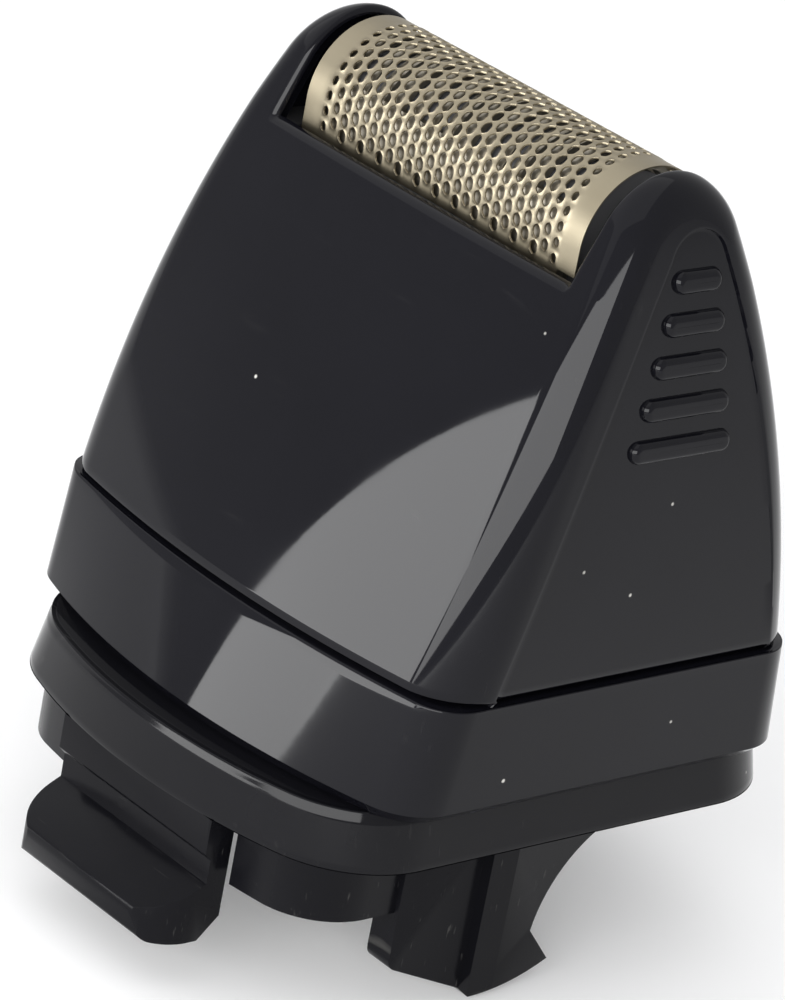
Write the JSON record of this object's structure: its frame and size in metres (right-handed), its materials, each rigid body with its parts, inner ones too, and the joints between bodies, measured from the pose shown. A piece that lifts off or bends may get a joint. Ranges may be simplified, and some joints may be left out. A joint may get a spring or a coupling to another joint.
{
  "type": "precision shaver head",
  "caption": "Clip-on foil shaver head: wedge-shaped shell with a perforated arched foil, sprung oscillating cutter, collar and a clip-in base with latch lug and side hooks.",
  "frame": {"origin": "middle of the skirt's underside, the plane that seats on the handle", "axes": "+Z towards the foil, X along the foil, -Y to the side with the latch lug"},
  "size_m": [0.0314, 0.0368, 0.0441],
  "materials": {
    "gloss_black": "moulded black, polished",
    "satin_black": "moulded black, lightly scuffed",
    "frame_black": "moulded black, plain",
    "foil_nickel": "electroformed nickel, warm",
    "cutter_steel": "ground steel",
    "carrier_grey": "moulded grey",
    "bridge_white": "moulded natural white",
    "spring_steel": "drawn wire",
    "rod_steel": "ground rod",
    "screw_steel": "zinc plated"
  },
  "bodies": {
    "chassis": {"mounting_base": "satin_black", "collar": "gloss_black", "guide_rod_front": "rod_steel", "guide_rod_rear": "rod_steel", "rod_clamp_left": "bridge_white", "rod_clamp_right": "bridge_white", "clamp_screws": "screw_steel", "base_screws": "screw_steel"},
    "foil_head": {"foil_housing": "gloss_black", "shaving_foil": "foil_nickel", "foil_frame": "frame_black"},
    "drive": {"drive_bridge": "bridge_white", "slot_shield": "carrier_grey", "carrier_spring_left": "spring_steel", "carrier_spring_right": "spring_steel"},
    "cutter": {"cutter_carrier": "carrier_grey", "cutter_blade": "cutter_steel"}
  },
  "joints": [
    {"name": "head_lift", "type": "slide", "parent": "chassis", "child": "foil_head", "axis": [0, 0, 1], "range_m": [0, 0.028]},
    {"name": "drive_stroke", "type": "slide", "parent": "chassis", "child": "drive", "axis": [1, 0, 0], "range_m": [-0.001, 0.001]},
    {"name": "cutter_float", "type": "slide", "parent": "drive", "child": "cutter", "axis": [0, 0, 1], "range_m": [-0.0008, 0], "stiffness_N_per_m": 300, "springref_m": 0.001, "deforming": ["carrier_spring_left", "carrier_spring_right"]}
  ]
}
